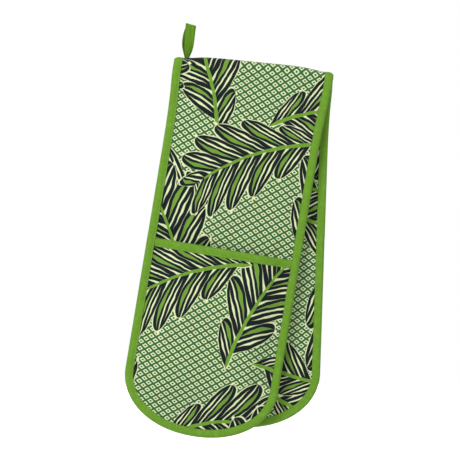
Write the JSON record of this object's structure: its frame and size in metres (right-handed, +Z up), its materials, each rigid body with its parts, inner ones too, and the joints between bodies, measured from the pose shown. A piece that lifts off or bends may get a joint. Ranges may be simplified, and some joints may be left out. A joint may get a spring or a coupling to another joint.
{
  "type": "double oven glove",
  "caption": "Long padded strip folded in half with a hand pocket at each end, bound edges and a hanging loop, for lifting hot dishes with both hands.",
  "frame": {"origin": "where a hook bears inside the top of the hanging loop", "axes": "+Z up as the glove hangs, +X to the right seen from the front, -Y towards the viewer, out of the front pocket's face"},
  "size_m": [0.2447, 0.0552, 0.4889],
  "materials": {
    "binding": "matte",
    "tape": "matte",
    "print": "matte",
    "lining": "matte",
    "wadding": "matte",
    "thread": "matte"
  },
  "bodies": {
    "back_arm": {"back_face_fabric": "print", "back_wadding": "wadding", "back_inner_fabric": "print", "back_edge_binding": "binding", "back_edge_seam_outer": "thread", "back_edge_seam_inner": "thread", "back_pocket_lining": "lining", "back_pocket_wadding": "wadding", "back_pocket_face": "print", "back_mouth_binding": "binding", "back_mouth_seam": "thread", "fold_face_fabric": "print", "fold_wadding": "wadding", "fold_inner_fabric": "print", "fold_binding_left": "binding", "fold_binding_right": "binding", "fold_seam_left": "thread", "fold_seam_right": "thread", "loop_tail": "tape", "loop_tack": "thread"},
    "front_arm": {"front_face_fabric": "print", "front_wadding": "wadding", "front_inner_fabric": "print", "front_edge_binding": "binding", "front_edge_seam_outer": "thread", "front_edge_seam_inner": "thread", "front_pocket_lining": "lining", "front_pocket_wadding": "wadding", "front_pocket_face": "print", "front_mouth_binding": "binding", "front_mouth_seam": "thread"},
    "hanging_loop": {"hanging_loop": "tape"}
  },
  "joints": [
    {"name": "fold", "type": "hinge", "parent": "back_arm", "child": "front_arm", "pos_m": [0.07276, -0.0148, -0.05407], "axis": [-0.9951, 0, 0.099], "range_deg": [0, 179], "deforming": ["fold_face_fabric", "fold_wadding", "fold_inner_fabric", "fold_binding_left", "fold_binding_right", "fold_seam_left", "fold_seam_right"]},
    {"name": "loop_swing", "type": "hinge", "parent": "back_arm", "child": "hanging_loop", "pos_m": [-0.00646, 0.0002, -0.04729], "axis": [-0.9951, 0, 0.099], "range_deg": [0, 165]}
  ]
}
